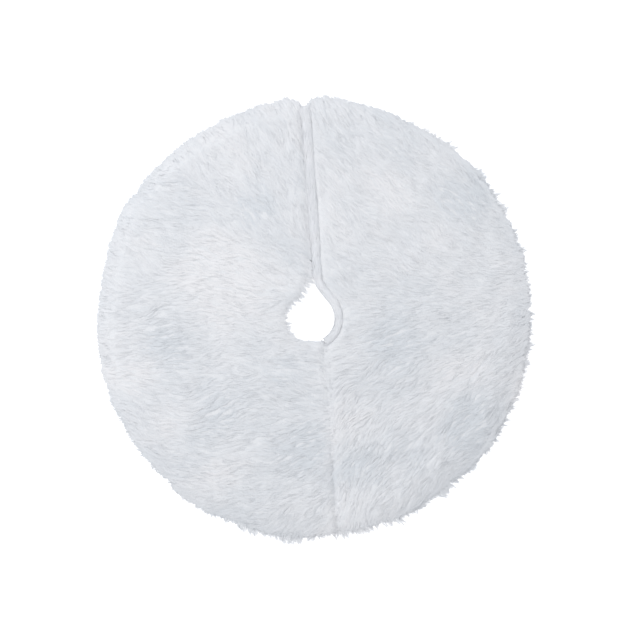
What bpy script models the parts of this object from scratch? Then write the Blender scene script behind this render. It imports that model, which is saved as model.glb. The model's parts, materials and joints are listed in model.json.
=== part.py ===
"""Plush Christmas tree skirt: two lined faux-fur half discs sewn together below the trunk hole,
open above it along a slit that hook-and-loop tapes close over an underlap strip.

Run with: blender --background --python part.py
Frame: metres, +Z up, floor at Z = 0, origin at the disc's centre, slit towards +Y.
The right half turns about the hinge empty, which lies along the slit above the pile.
"""

import math

import bpy
from mathutils import Matrix

# Driving dimensions, in metres.
GAP = 0.0003  # clearance between touching pieces
DISC_RADIUS = 0.390  # widest part of the pile
PILE_TOP = 0.026  # height of the laid pile above the floor
HOLE_X = -0.005  # centre of the trunk hole
HOLE_RADIUS = 0.045  # cut edge of the left half's fur round the trunk hole
SEAM_X = 0.013  # sewn seam below the trunk hole
SLIT_X = 0.005  # where the right half's slit edge starts
LINING_THICKNESS = 0.0009
HEM_THICKNESS = 0.0036  # turned hems, which carry the skirt on the floor
RIM_HEM_WIDTH = 0.040
RIM_HEM_RADIUS = 0.386
LINING_RADIUS = 0.384
NECK_HEM_WIDTH = 0.028
ROLL_RADIUS = 0.0075  # rolled edge along the right side of the slit
STITCH_RADIUS = 0.0004
UNDERLAP_THICKNESS = 0.0012
UNDERLAP_LEFT = -0.018  # sewn edge of the underlap strip, which is its fold line
UNDERLAP_RIGHT = 0.042
UNDERLAP_BOTTOM = 0.082
UNDERLAP_TOP = 0.334
TAPE_THICKNESS = 0.0009
TAPE_LENGTH = 0.050
TAPE_RIGHT = 0.030
TAPE_CENTRES = {"top": 0.305, "middle": 0.210, "bottom": 0.115}
SLIT_HEM_WIDTH = 0.040
SLIT_HEM_BOTTOM = 0.068
TEARDROP_ANGLE = 35  # degrees above +X where the hole's round part meets its straight sides
CORNER_CUT = 0.016  # how far the bend into the slit reaches from its corner

# Heights that follow from them.
LINING_BOTTOM = HEM_THICKNESS + GAP
LINING_TOP = LINING_BOTTOM + LINING_THICKNESS
FUR_BOTTOM = LINING_TOP + GAP
HINGE_Z = PILE_TOP + GAP
ROLL_X = SLIT_X + GAP + ROLL_RADIUS
ROLL_Z = FUR_BOTTOM + ROLL_RADIUS
ROLL_PATH_RADIUS = HOLE_RADIUS - 0.003 + ROLL_RADIUS  # round the trunk hole, from its centre
GROOVE_WIDTH = 2 * STITCH_RADIUS + 2 * GAP  # the roll's stitch line lies in this groove
FUR_OFFSET = ROLL_RADIUS + GROOVE_WIDTH  # from the roll's path to the right fur panel
NECK_HEM_RADIUS = HOLE_RADIUS + 0.003
HEM_STITCH_RADIUS = RIM_HEM_RADIUS - RIM_HEM_WIDTH - GAP - STITCH_RADIUS
UNDER_STITCH_Z = LINING_BOTTOM - GAP - STITCH_RADIUS
RING_INNER = 0.030  # inside the trunk hole, so the cutters trim every turned sheet
FAR = 0.6  # beyond every edge of the skirt
CUT_REACH = 0.1  # how far a cutter goes above and below the floor

MATERIALS = {  # name: (colour, roughness)
    "white_pile": ((0.80, 0.82, 0.86), 0.95),
    "white_hem": ((0.74, 0.75, 0.78), 0.90),
    "lining_cloth": ((0.66, 0.67, 0.69), 0.85),
    "underlap_cloth": ((0.42, 0.43, 0.45), 0.90),
    "loop_tape": ((0.60, 0.61, 0.63), 0.95),
    "hook_tape": ((0.50, 0.51, 0.53), 0.60),
    "thread": ((0.70, 0.71, 0.74), 0.60),
}


def clear_scene():
    for obj in list(bpy.data.objects):
        bpy.data.objects.remove(obj, do_unlink=True)


def make_collection(name):
    collection = bpy.data.collections.new(name)
    bpy.context.scene.collection.children.link(collection)
    return collection


def make_material(name, colour, roughness):
    material = bpy.data.materials.new(name)
    material.use_nodes = True
    shader = material.node_tree.nodes["Principled BSDF"]
    shader.inputs["Base Color"].default_value = (*colour, 1.0)
    shader.inputs["Roughness"].default_value = roughness
    shader.inputs["Metallic"].default_value = 0.0
    return material


def own_material(obj, look):
    """Gives the object a material of its own, named after it."""
    colour, roughness = MATERIALS[look]
    obj.data.materials.clear()
    obj.data.materials.append(make_material(f"{obj.name}_{look}", colour, roughness))


def add_object(name, data, collection, look=None):
    obj = bpy.data.objects.new(name, data)
    collection.objects.link(obj)
    if look:
        own_material(obj, look)
    return obj


def move_to(obj, collection):
    for owner in list(obj.users_collection):
        owner.objects.unlink(obj)
    collection.objects.link(obj)


def outline_curve(name, points, bottom, top):
    """A flat outline through the points, filled and extruded from the bottom height to the top."""
    curve = bpy.data.curves.new(name, "CURVE")
    curve.dimensions = "2D"
    curve.fill_mode = "BOTH"
    curve.extrude = (top - bottom) / 2
    spline = curve.splines.new("POLY")
    spline.points.add(len(points) - 1)
    for point, (x, y) in zip(spline.points, points):
        point.co = (x, y, 0.0, 1.0)
    spline.use_cyclic_u = True
    return curve


def slab(name, points, bottom, top, collection, look=None):
    """A mesh slab of the outline, welded so that it can be cut or can cut."""
    guide = add_object(f"{name}_outline", outline_curve(name, points, bottom, top), collection)
    guide.location.z = (top + bottom) / 2
    bpy.context.view_layer.update()
    graph = bpy.context.evaluated_depsgraph_get()
    mesh = bpy.data.meshes.new_from_object(guide.evaluated_get(graph))
    obj = add_object(name, mesh, collection, look)
    obj.matrix_world = guide.matrix_world
    bpy.data.objects.remove(guide, do_unlink=True)
    weld = obj.modifiers.new("Weld", "WELD")
    weld.merge_threshold = 0.00001
    return obj


def box(name, low, high, collection, look=None):
    """A primitive box between two corners, its scale applied."""
    size = [b - a for a, b in zip(low, high)]
    bpy.ops.mesh.primitive_cube_add(size=1.0)
    obj = bpy.context.object
    obj.name = name
    obj.data.name = name
    obj.data.transform(Matrix.Diagonal((*size, 1.0)))
    obj.location = [(a + b) / 2 for a, b in zip(low, high)]
    move_to(obj, collection)
    if look:
        own_material(obj, look)
    return obj


def turned(name, profile, collection, look=None, steps=96):
    """A closed (radius, height) profile turned about the Z axis."""
    mesh = bpy.data.meshes.new(name)
    count = len(profile)
    edges = [(i, (i + 1) % count) for i in range(count)]
    mesh.from_pydata([(radius, 0.0, height) for radius, height in profile], edges, [])
    obj = add_object(name, mesh, collection, look)
    screw = obj.modifiers.new("Screw", "SCREW")
    screw.steps = steps
    screw.render_steps = steps
    screw.use_merge_vertices = True
    screw.merge_threshold = 0.00001
    return obj


def flat_ring(name, inner, outer, bottom, top, collection, look=None, centre_x=0.0, steps=96):
    """A washer, whose profile runs down its outer side."""
    profile = [(outer, top), (outer, bottom), (inner, bottom), (inner, top)]
    ring = turned(name, profile, collection, look, steps)
    ring.location.x = centre_x
    return ring


def cut(obj, cutter):
    boolean = obj.modifiers.new(f"Cut {cutter.name}", "BOOLEAN")
    boolean.operation = "DIFFERENCE"
    boolean.solver = "EXACT"
    boolean.object = cutter


def thread(name, points, collection, radius=STITCH_RADIUS, sides=6, look="thread"):
    """A sewn line or a roll: a tube with filled caps along the points."""
    curve = bpy.data.curves.new(name, "CURVE")
    curve.dimensions = "3D"
    curve.bevel_depth = radius
    curve.bevel_resolution = (sides - 4) // 2
    curve.use_fill_caps = True
    spline = curve.splines.new("POLY")
    spline.points.add(len(points) - 1)
    for point, co in zip(spline.points, points):
        point.co = (*co, 1.0)
    return add_object(name, curve, collection, look)


def arc(centre_x, radius, start, end, height, count):
    """Points on a circle round (centre_x, 0), from one angle to the other in degrees."""
    angles = [math.radians(start + (end - start) * i / (count - 1)) for i in range(count)]
    return [(centre_x + radius * math.cos(a), radius * math.sin(a), height) for a in angles]


def angle_at_x(x, radius, centre_x=0.0):
    """Degrees, above +X, where a circle round (centre_x, 0) crosses the line at x."""
    return math.degrees(math.acos((x - centre_x) / radius))


def fur_profile():
    """The laid pile in section: flat on top, rounded down to the turned rim."""
    rim = [(0.352, PILE_TOP), (0.367, 0.0250), (0.379, 0.0220), (0.387, 0.0172)]
    edge = [(DISC_RADIUS, 0.0125), (0.3890, 0.0085), (0.3855, FUR_BOTTOM)]
    return [(RING_INNER, PILE_TOP), *rim, *edge, (RING_INNER, FUR_BOTTOM)]


def left_edge_outline():
    """Everything to the right of the left half: a teardrop hole, then an edge bowed towards the slit."""
    angle = math.radians(180 - TEARDROP_ANGLE)
    tangent = (HOLE_X + HOLE_RADIUS * math.cos(angle), HOLE_RADIUS * math.sin(angle))
    bow = [(-0.0115, 0.0700), (-0.0112, 0.095), (-0.0090, 0.125), (-0.0030, 0.165), (0.0020, 0.195)]
    slit = (SLIT_X - GAP, 0.220)
    corners = [(SLIT_X - GAP, FAR), (FAR, FAR), (FAR, -FAR)]
    seam = SEAM_X - GAP / 2
    return [(HOLE_X, 0.0), tangent, *bow, slit, *corners, (seam, -FAR), (seam, 0.0)]


def roll_path(offset, end_x, top=0.374):
    """The right slit edge: down the slit, along the teardrop's straight side and round the hole.

    offset moves the path away from the opening, and it ends near the seam, at end_x.
    """
    x = ROLL_X + offset
    radius = ROLL_PATH_RADIUS + offset
    angle = math.radians(TEARDROP_ANGLE)
    away = (math.sin(angle), -math.cos(angle))
    tangent = (HOLE_X + radius * math.cos(angle), radius * math.sin(angle))
    reach = (tangent[0] - x) / away[0]
    corner = (x, tangent[1] - reach * away[1])
    bend_end = (corner[0] + CORNER_CUT * away[0], corner[1] + CORNER_CUT * away[1])
    bend_top = corner[1] + CORNER_CUT
    straight = [(x, top + (bend_top - top) * i / 8) for i in range(8)]
    bend = [quadratic((x, bend_top), corner, bend_end, i / 6) for i in range(7)]
    end = -angle_at_x(end_x, radius, HOLE_X)
    round_hole = [point[:2] for point in arc(HOLE_X, radius, TEARDROP_ANGLE, end, 0.0, 17)]
    return [*straight, *bend, *round_hole]


def quadratic(start, control, end, t):
    """A point on a quadratic Bezier curve."""
    return tuple((1 - t) ** 2 * a + 2 * t * (1 - t) * b + t * t * c for a, b, c in zip(start, control, end))


def right_edge_outline(offset):
    """Everything to the left of the right half, whose edge is the roll's path moved by offset."""
    seam = SEAM_X + GAP / 2
    return [*roll_path(offset, seam, FAR), (seam, -FAR), (-FAR, -FAR), (-FAR, FAR)]


def as_cutter(obj):
    obj.hide_render = True
    obj.display_type = "WIRE"
    return obj


def hole_cutter(name, radius, cutters):
    bpy.ops.mesh.primitive_cylinder_add(vertices=48, radius=radius, depth=2 * CUT_REACH)
    cutter = bpy.context.object
    cutter.name = name
    cutter.location = (HOLE_X, 0.0, 0.0)
    move_to(cutter, cutters)
    return as_cutter(cutter)


def edge_cutter(name, outline, cutters):
    return as_cutter(slab(name, outline, -CUT_REACH, CUT_REACH, cutters))


def left_half(parts, cutters):
    edge = edge_cutter("left_edge_cutter", left_edge_outline(), cutters)
    hole = hole_cutter("left_hole_cutter", HOLE_RADIUS, cutters)
    hem_hole = hole_cutter("hem_hole_cutter", NECK_HEM_RADIUS, cutters)
    fur = turned("left_fur_panel", fur_profile(), parts, "white_pile")
    lining = flat_ring("left_lining", RING_INNER, LINING_RADIUS, LINING_BOTTOM, LINING_TOP, parts,
                       "lining_cloth")
    rim = flat_ring("left_rim_hem", RIM_HEM_RADIUS - RIM_HEM_WIDTH, RIM_HEM_RADIUS, 0.0, HEM_THICKNESS,
                    parts, "white_hem")
    neck = flat_ring("left_neck_hem", NECK_HEM_RADIUS, NECK_HEM_RADIUS + NECK_HEM_WIDTH, 0.0,
                     HEM_THICKNESS, parts, "white_hem", HOLE_X, 64)
    for obj in (fur, lining, rim, neck):
        cut(obj, edge)
    cut(fur, hole)
    cut(lining, hem_hole)
    slit_right = UNDERLAP_LEFT - GAP
    box("left_slit_hem", (slit_right - SLIT_HEM_WIDTH, UNDERLAP_BOTTOM, 0.0),
        (slit_right, UNDERLAP_TOP, HEM_THICKNESS), parts, "white_hem")
    start = angle_at_x(UNDERLAP_LEFT, HEM_STITCH_RADIUS)
    end = 360 - angle_at_x(SEAM_X - 0.002, HEM_STITCH_RADIUS)
    thread("left_hem_stitching", arc(0.0, HEM_STITCH_RADIUS, start, end, UNDER_STITCH_Z, 48), parts)


def right_half(parts, cutters):
    fur_edge = edge_cutter("right_fur_cutter", right_edge_outline(FUR_OFFSET), cutters)
    cloth_edge = edge_cutter("right_cloth_cutter", right_edge_outline(-ROLL_RADIUS / 2), cutters)
    hem_space = as_cutter(box("slit_hem_space", (-FAR, SLIT_HEM_BOTTOM - GAP, -CUT_REACH),
                              (SLIT_X + 2 * GAP + SLIT_HEM_WIDTH, FAR, CUT_REACH), cutters))
    cut(turned("right_fur_panel", fur_profile(), parts, "white_pile"), fur_edge)
    lining = flat_ring("right_lining", RING_INNER, LINING_RADIUS, LINING_BOTTOM, LINING_TOP, parts,
                       "lining_cloth")
    cut(lining, cloth_edge)
    cut(lining, hem_space)
    rim = flat_ring("right_rim_hem", RIM_HEM_RADIUS - RIM_HEM_WIDTH, RIM_HEM_RADIUS, 0.0, HEM_THICKNESS,
                    parts, "white_hem")
    cut(rim, cloth_edge)
    neck = flat_ring("right_neck_hem", NECK_HEM_RADIUS, NECK_HEM_RADIUS + NECK_HEM_WIDTH, 0.0,
                     HEM_THICKNESS, parts, "white_hem", HOLE_X, 64)
    cut(neck, cloth_edge)
    right_slit_hem(parts)
    edge_roll(parts)
    start = angle_at_x(UNDERLAP_RIGHT + 0.004, HEM_STITCH_RADIUS)
    end = -angle_at_x(SEAM_X + 0.002, HEM_STITCH_RADIUS)
    thread("right_hem_stitching", arc(0.0, HEM_STITCH_RADIUS, start, end, UNDER_STITCH_Z, 48), parts)


def right_slit_hem(parts):
    """The strip turned under along the right slit edge, level with the lining."""
    low = (SLIT_X + GAP, SLIT_HEM_BOTTOM, LINING_BOTTOM)
    high = (SLIT_X + GAP + SLIT_HEM_WIDTH, 0.378, LINING_TOP)
    box("right_slit_hem", low, high, parts, "white_hem")


def edge_roll(parts):
    """The rolled edge and the stitch line sunk in the groove beside it."""
    end_x = SEAM_X + 0.002
    roll = [(x, y, ROLL_Z) for x, y in roll_path(0.0, end_x)]
    thread("right_edge_roll", roll, parts, ROLL_RADIUS, 12, "white_pile")
    groove = [(x, y, ROLL_Z) for x, y in roll_path(ROLL_RADIUS + GAP + STITCH_RADIUS, end_x)]
    thread("right_slit_stitching", groove, parts)


def underlap(parts):
    """The strip sewn to the left slit hem, with its loop tapes."""
    low = (UNDERLAP_LEFT, UNDERLAP_BOTTOM, 0.0)
    high = (UNDERLAP_RIGHT, UNDERLAP_TOP, UNDERLAP_THICKNESS)
    strip = box("underlap_strip", low, high, parts, "underlap_cloth")
    bottom = UNDERLAP_THICKNESS + GAP
    tapes = []
    for place, centre in TAPE_CENTRES.items():
        low = (SLIT_X - 0.009, centre - TAPE_LENGTH / 2, bottom)
        high = (TAPE_RIGHT, centre + TAPE_LENGTH / 2, bottom + TAPE_THICKNESS)
        tapes.append(box(f"loop_tape_{place}", low, high, parts, "loop_tape"))
    return [strip, *tapes]


def hook_tapes(parts):
    """The hook tapes under the right slit hem, facing the loop tapes."""
    top = LINING_BOTTOM - GAP
    for place, centre in TAPE_CENTRES.items():
        low = (SLIT_X + 2 * GAP, centre - TAPE_LENGTH / 2, top - TAPE_THICKNESS)
        high = (TAPE_RIGHT, centre + TAPE_LENGTH / 2, top)
        box(f"hook_tape_{place}", low, high, parts, "hook_tape")


def seam_stitching(parts):
    """The sewn line that joins the halves below the hole, on the underside."""
    x = SEAM_X - GAP - STITCH_RADIUS
    top = -(NECK_HEM_RADIUS + NECK_HEM_WIDTH + GAP)
    bottom = -(RIM_HEM_RADIUS - RIM_HEM_WIDTH - 4 * GAP)
    steps = 8
    points = [(x, top + (bottom - top) * i / steps, UNDER_STITCH_Z) for i in range(steps + 1)]
    thread("centre_seam_stitching", points, parts)


def hang_on(name, location, objects, collection):
    """Parents the objects to an empty on their joint's axis, without moving them."""
    empty = bpy.data.objects.new(name, None)
    empty.location = location
    empty.empty_display_size = 0.02
    collection.objects.link(empty)
    bpy.context.view_layer.update()
    for obj in objects:
        obj.parent = empty
        obj.matrix_parent_inverse = empty.matrix_world.inverted()
    return empty


def main():
    clear_scene()
    parts = make_collection("tree_skirt")
    cutters = make_collection("cutters")
    left_half(parts, cutters)
    flap = underlap(parts)
    before = set(parts.objects)
    right_half(parts, cutters)
    hook_tapes(parts)
    right = [obj for obj in parts.objects if obj not in before]
    seam_stitching(parts)
    hang_on("right_half_hinge", (SLIT_X, 0.0, HINGE_Z), right, parts)
    hang_on("underlap_hinge", (UNDERLAP_LEFT, 0.0, 0.0), flap, parts)


main()
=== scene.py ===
"""Looks of the plush tree skirt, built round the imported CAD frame.

The pile is real geometry: locks of tapered strands grown along a combed field over a lumpy undercoat.
Lengths are in metres. +X is the half with the rolled slit edge, +Y runs from the trunk hole along the slit.
"""
import json
import math

import bpy
import numpy as np
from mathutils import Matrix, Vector
from mathutils.geometry import delaunay_2d_cdt


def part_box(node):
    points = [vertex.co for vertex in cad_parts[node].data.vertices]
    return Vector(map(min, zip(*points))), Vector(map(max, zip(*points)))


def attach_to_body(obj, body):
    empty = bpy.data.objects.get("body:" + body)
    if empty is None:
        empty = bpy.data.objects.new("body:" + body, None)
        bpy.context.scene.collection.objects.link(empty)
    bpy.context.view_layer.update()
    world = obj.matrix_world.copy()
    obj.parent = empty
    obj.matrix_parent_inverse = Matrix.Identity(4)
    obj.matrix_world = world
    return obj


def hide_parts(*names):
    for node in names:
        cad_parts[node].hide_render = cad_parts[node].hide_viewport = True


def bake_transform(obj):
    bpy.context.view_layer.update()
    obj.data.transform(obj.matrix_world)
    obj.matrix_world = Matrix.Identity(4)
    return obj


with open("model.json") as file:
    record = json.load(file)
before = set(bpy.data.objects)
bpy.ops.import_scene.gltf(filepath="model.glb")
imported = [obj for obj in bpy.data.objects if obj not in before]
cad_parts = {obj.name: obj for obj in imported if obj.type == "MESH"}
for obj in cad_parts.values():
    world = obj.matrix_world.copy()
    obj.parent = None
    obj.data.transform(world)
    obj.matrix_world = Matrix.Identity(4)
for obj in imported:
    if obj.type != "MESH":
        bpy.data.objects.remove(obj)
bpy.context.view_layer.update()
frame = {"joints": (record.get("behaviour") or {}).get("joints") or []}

# Places taken from the frame.
DISC_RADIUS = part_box("left_fur_panel")[1].y
PILE_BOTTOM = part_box("left_fur_panel")[0].z
HEM_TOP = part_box("left_rim_hem")[1].z
HEM_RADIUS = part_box("left_rim_hem")[1].y
LINING_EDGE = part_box("left_lining")[1].y - 0.012
LINING_BOTTOM, LINING_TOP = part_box("left_lining")[0].z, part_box("left_lining")[1].z
UNDER_STITCH_Z = (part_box("centre_seam_stitching")[0].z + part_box("centre_seam_stitching")[1].z) / 2
ROLL_MIDDLE = (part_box("right_edge_roll")[0].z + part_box("right_edge_roll")[1].z) / 2
SLIT_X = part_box("right_edge_roll")[0].x
HINGE = next(Vector(j["pos_m"]) for j in frame["joints"] if j["name"] == "half_fold")
BLEND_START = HINGE + Vector((-0.015, 0.0, 0.0))
BLEND_END = HINGE + Vector((0.032, 0.0, 0.0))

# The same dimensions as in the CAD source.
GAP = 0.0003
SEAM_X = 0.013
HOLE_X = -0.005
HOLE_RADIUS = 0.045
NECK_HEM_RADIUS = 0.048
NECK_HEM_WIDTH = 0.028
RIM_HEM_WIDTH = 0.040
HEM_STITCH_RADIUS = 0.3453
ROLL_RADIUS = 0.0075
ROLL_X = SLIT_X + ROLL_RADIUS
ROLL_PATH_RADIUS = 0.0495
STITCH_OFFSET = 0.0082
TEARDROP_ANGLE = 35
CORNER_CUT = 0.016

# Shapes that only the looks have: a flatter and higher roll that the right half's fur meets, the left half's
# edge beside it, and the fur that hangs into the hole.
ROLL_FLATNESS = 0.72
ROLL_STRANDS = 5400
ROLL_Z = ROLL_MIDDLE + 0.0026
FUR_OFFSET = 0.0056
HOLE_TUFT = [(-0.0330, 0.0352), (-0.0230, 0.0370), (-0.0195, 0.0540)]
LEFT_BOW = [
    (-0.0100, 0.0660), (-0.0058, 0.078), (-0.0038, 0.100), (-0.0028, 0.130), (-0.0010, 0.165),
    (0.0020, 0.195), (0.0045, 0.220),
]

# The pile: spacing, strands and lengths of the locks, the grid of the field, and the laid surface's heights.
LOCK_SPACING = 0.0068
EDGE_SPACING = 0.0044
STRANDS_PER_LOCK = 8
MOST_STRANDS = 5500
LOCK_LENGTH, EDGE_LENGTH, TUFT_LENGTH = (0.046, 0.068), (0.016, 0.030), (0.020, 0.038)
EDGE_DEPTH, TUFT_DEPTH = 0.022, 0.016
STRAND_RADIUS = 0.0007
STRAND_FLATNESS = 0.35
STRAND_TILT = 0.12
LOCK_SPREAD = 0.0028
TUFT_SPREAD = 0.0042
RING_TIMES = np.array([0.0, 0.20, 0.38, 0.55, 0.71, 0.87])
GRID_STEP = 0.003
GRID_HALF = 0.444
FULL_HEIGHT = 0.0238
RIM_HEIGHT, RIM_ROUND = 0.0110, 0.034
SLIT_HEIGHT, SLIT_ROUND = 0.0196, 0.010
HOLE_HEIGHT = 0.0190
UNDERCOAT_SHARE = 0.93
MOST_SLOPE = 0.16
HEM_PILE_SPACING = 0.0034

UP = np.array([0.0, 0.0, 1.0])
HALVES = (("upper", 1), ("lower", -1))


# ---------------------------------------------------------------- small helpers

def smooth(t):
    t = np.clip(t, 0.0, 1.0)
    return t * t * (3 - 2 * t)


def unit(vectors):
    return vectors / np.linalg.norm(vectors, axis=-1, keepdims=True)


def heading(angle):
    """Unit vectors in the plane."""
    return np.stack([np.cos(angle), np.sin(angle)], -1)


def between_corners(values, x0, x1, y0, y1, fx, fy):
    """Bilinear value of a grid between its columns x0 and x1 and its rows y0 and y1."""
    low = values[x0, y0] * (1 - fx) + values[x1, y0] * fx
    high = values[x0, y1] * (1 - fx) + values[x1, y1] * fx
    return low * (1 - fy) + high * fy


def value_noise(points, size, seed):
    """Smooth noise from -1 to 1 over the plane, with lumps of the given size."""
    lattice = np.random.default_rng(seed).uniform(-1, 1, (128, 128))
    place = points / size + 61.3
    cell = np.floor(place).astype(int)
    part = place - cell
    part = part * part * (3 - 2 * part)
    x0, y0 = cell[..., 0] % 128, cell[..., 1] % 128
    x1, y1 = (x0 + 1) % 128, (y0 + 1) % 128
    return between_corners(lattice, x0, x1, y0, y1, part[..., 0], part[..., 1])


def arc(centre_x, radius, start, end, step=0.004):
    """Points on a circle round (centre_x, 0), from one angle to the other in degrees."""
    count = max(3, int(abs(math.radians(end - start)) * radius / step) + 1)
    angles = np.radians(np.linspace(start, end, count))
    return radius * heading(angles) + (centre_x, 0.0)


def angle_at_x(x, radius, centre_x=0.0):
    return math.degrees(math.acos((x - centre_x) / radius))


def quadratic(start, control, end, count=9):
    t = np.linspace(0, 1, count)[:, None]
    start, control, end = (np.array(p, float) for p in (start, control, end))
    return (1 - t) ** 2 * start + 2 * t * (1 - t) * control + t * t * end


def lengths_along(points):
    return np.concatenate([[0], np.cumsum(np.linalg.norm(np.diff(points, axis=0), axis=1))])


def at_length(path, far, at):
    """Points at the lengths at along a path, whose own points are at the lengths far."""
    return np.stack([np.interp(at, far, path[:, i]) for i in range(path.shape[1])], -1)


def resampled(points, step):
    """Points evenly spaced along a closed outline."""
    loop = np.vstack([points, points[:1]])
    far = lengths_along(loop)
    at = np.linspace(0, far[-1], int(far[-1] / step), endpoint=False)
    return at_length(loop, far, at)


def filled_in(outline, step):
    """The closed outline with points added on its long edges, so that its corners stay."""
    made = []
    for a, b in zip(outline, np.roll(outline, -1, axis=0)):
        count = max(1, round(float(np.linalg.norm(b - a)) / step))
        made.append(a + (b - a) * (np.arange(count) / count)[:, None])
    return np.vstack(made)


def clipped(outline, sign):
    """The part of a closed outline with y above 0 where sign is 1, or below 0 where it is -1."""
    kept = []
    for a, b in zip(outline, np.roll(outline, -1, axis=0)):
        if sign * a[1] >= 0:
            kept.append(a)
        if a[1] * b[1] < 0:
            kept.append(a + (b - a) * a[1] / (a[1] - b[1]))
    return np.array(kept)


# ---------------------------------------------------------------- outlines of the cloth

# Where the rim swells or draws in: angle and half width in degrees, and height.
RIM_SWELLS = [
    (88, 17, 0.009), (42, 7, 0.004), (146, 9, 0.003), (140.5, 0.9, -0.007), (166, 12, -0.006),
    (233, 8, 0.005), (257, 8, 0.005), (304, 9, -0.006), (345, 18, -0.003),
]


def rim_radius(angle):
    """Radius of the cloth's rim: the pile hangs over it on the right, so the cloth is smaller there."""
    radius = 0.3825 - 0.0045 * np.cos(angle)
    radius = radius + 0.001 * value_noise(heading(angle) * DISC_RADIUS, 0.03, 3)
    for place, width, height in RIM_SWELLS:
        away = (np.degrees(angle) - place + 180) % 360 - 180
        radius = radius + height * np.exp(-((away / width) ** 2))
    return radius


def rim_arc(start, end):
    """The rim from one angle to the other, in degrees."""
    count = int(abs(math.radians(end - start)) * DISC_RADIUS / 0.004) + 1
    angle = np.radians(np.linspace(start, end, count))
    return rim_radius(angle)[:, None] * heading(angle)


def roll_path(offset, end_x, top):
    """The right slit edge: down the slit, along the teardrop's side and round the hole."""
    x = ROLL_X + offset
    radius = ROLL_PATH_RADIUS + offset
    angle = math.radians(TEARDROP_ANGLE)
    away = np.array((math.sin(angle), -math.cos(angle)))
    tangent = np.array((HOLE_X + radius * math.cos(angle), radius * math.sin(angle)))
    corner = tangent - (tangent[0] - x) / away[0] * away
    bend_top = np.array((x, corner[1] + CORNER_CUT))
    straight = np.linspace((x, top), bend_top, 60)[:-1]
    bend = quadratic(bend_top, corner, corner + CORNER_CUT * away)
    round_hole = arc(HOLE_X, radius, TEARDROP_ANGLE, -angle_at_x(end_x, radius, HOLE_X))
    return np.vstack([straight, bend, round_hole])


def left_hole_edge(radius, seam, tuft=()):
    """From the seam round the left side of the trunk hole and up to the slit."""
    return np.array([*arc(HOLE_X, radius, -angle_at_x(seam, radius, HOLE_X), -215), *tuft, *LEFT_BOW])


def left_fur_outline():
    seam = SEAM_X - GAP
    rim = rim_arc(92.8, 271.0)
    corner = quadratic((0.0040, 0.352), (0.0045, 0.385), rim[0], 12)[:-1]
    foot = quadratic(rim[-1], (seam, rim[-1, 1]), (seam, rim[-1, 1] + 0.008))[1:]
    return np.vstack([left_hole_edge(HOLE_RADIUS + 0.002, seam, HOLE_TUFT), corner, rim, foot])


def right_fur_outline():
    path = roll_path(FUR_OFFSET, SEAM_X + GAP, 0.352)
    rim = rim_arc(-87.0, 84.5)
    corner = quadratic(rim[-1], (path[0, 0] - 0.008, 0.388), path[0], 12)[1:-1]
    seam = SEAM_X + GAP
    foot = quadratic((seam, rim[0, 1] + 0.008), (seam, rim[0, 1]), rim[0])[:-1]
    return np.vstack([path, foot, rim, corner])


def left_lining_outline():
    seam = SEAM_X - GAP
    rim = arc(0, LINING_EDGE, angle_at_x(SLIT_X - GAP, LINING_EDGE), 360 - angle_at_x(seam, LINING_EDGE))
    return np.vstack([left_hole_edge(NECK_HEM_RADIUS, seam), rim])


def right_lining_outline():
    """It stops beside the strip turned under along the slit."""
    seam = SEAM_X + GAP
    hem_x, hem_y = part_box("right_slit_hem")[1].x + GAP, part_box("right_slit_hem")[0].y - GAP
    path = roll_path(-ROLL_RADIUS / 2, seam, 0.1)
    path = path[path[:, 1] < hem_y]
    rim = arc(0, LINING_EDGE, -angle_at_x(seam, LINING_EDGE), angle_at_x(hem_x, LINING_EDGE))
    return np.vstack([path, rim, [(hem_x, hem_y)]])


def ring_outline(centre_x, inner, outer, inner_ends, outer_ends):
    """Part of a flat ring: its inner edge, then its outer edge."""
    return np.vstack([arc(centre_x, inner, *inner_ends), arc(centre_x, outer, *outer_ends)])


def rim_hem_outline(side):
    inner, outer = HEM_RADIUS - RIM_HEM_WIDTH, HEM_RADIUS - 0.0115
    slit, seam = (SLIT_X - GAP, SEAM_X - GAP) if side == "left" else (ROLL_X - ROLL_RADIUS / 2, SEAM_X + GAP)
    turn = 360 if side == "left" else 0
    ends = [(angle_at_x(slit, r), turn - angle_at_x(seam, r)) for r in (inner, outer)]
    return ring_outline(0.0, inner, outer, ends[0], ends[1][::-1])


def neck_hem_outline(side):
    inner, outer = NECK_HEM_RADIUS, NECK_HEM_RADIUS + NECK_HEM_WIDTH
    seam = SEAM_X + (GAP if side == "right" else -GAP)
    starts = [-angle_at_x(seam, r, HOLE_X) for r in (inner, outer)]
    if side == "left":
        return ring_outline(HOLE_X, inner, outer, (starts[0], -215), (-265, starts[1]))
    path = roll_path(-ROLL_RADIUS / 2, 0.04, 0.0745)
    edge = path[path[:, 1] > 0.030][::-1]
    return np.vstack([arc(HOLE_X, inner, starts[0], 33), edge, arc(HOLE_X, outer, 78, starts[1])])


def signed_distance(points, outline):
    """Distance to the outline, positive inside it."""
    a, b = outline, np.roll(outline, -1, axis=0)
    along = b - a
    found = np.empty(len(points))
    for first in range(0, len(points), 4096):
        p = points[first:first + 4096, None]
        share = np.clip(((p - a) * along).sum(-1) / (along ** 2).sum(-1), 0, 1)
        far = np.linalg.norm(p - a - along * share[..., None], axis=-1).min(1)
        straddles = (a[:, 1] > p[..., 1]) != (b[:, 1] > p[..., 1])
        rise = np.where(along[:, 1] == 0, 1e-12, along[:, 1])
        crossing = a[:, 0] + along[:, 0] * (p[..., 1] - a[:, 1]) / rise
        inside = (straddles & (p[..., 0] < crossing)).sum(1) % 2 == 1
        found[first:first + 4096] = np.where(inside, far, -far)
    return found


# ---------------------------------------------------------------- the combed field

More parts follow.
